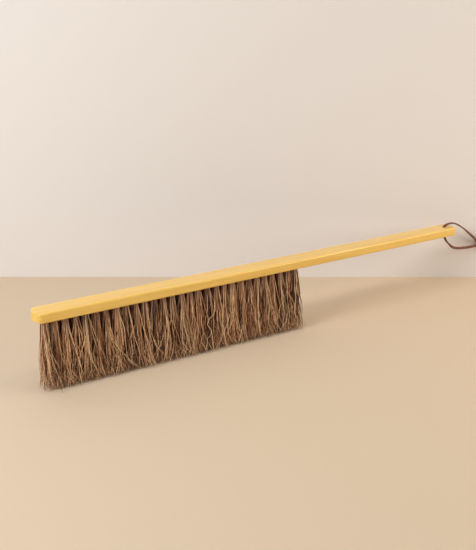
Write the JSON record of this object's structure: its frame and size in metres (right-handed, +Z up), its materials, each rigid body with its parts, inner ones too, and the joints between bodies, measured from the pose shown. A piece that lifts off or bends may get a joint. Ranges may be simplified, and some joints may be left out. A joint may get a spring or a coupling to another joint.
{
  "type": "snow brush",
  "caption": "Long wooden snow brush: a lacquered stick with two rows of brown fibre tufts under its head half and a knotted leather hanging lace at the handle end.",
  "frame": {"origin": "on the surface that the bristle tips stand on, under the middle of the stick", "axes": "+X along the stick to the handle end, +Y to the back row of tufts, +Z up from the bristle tips"},
  "size_m": [0.7321, 0.0336, 0.0984],
  "materials": {
    "lacquered_wood": "pale close-grained wood under a glossy yellow lacquer",
    "plant_fibre": "coarse dry brown plant fibre",
    "brown_leather": "flat cut brown leather lace, dull"
  },
  "bodies": {
    "brush": {"stick": "lacquered_wood", "tuft_row_front": "plant_fibre", "tuft_row_back": "plant_fibre"},
    "lace_loop": {"lace_upper": "brown_leather", "lace_lower": "brown_leather", "lace_knot": "brown_leather"}
  },
  "joints": [
    {"name": "loop_swivel", "type": "hinge", "parent": "brush", "child": "lace_loop", "pos_m": [0.306, 0, 0.088], "axis": [0, 0, 1], "range_deg": [-120, 120]}
  ]
}
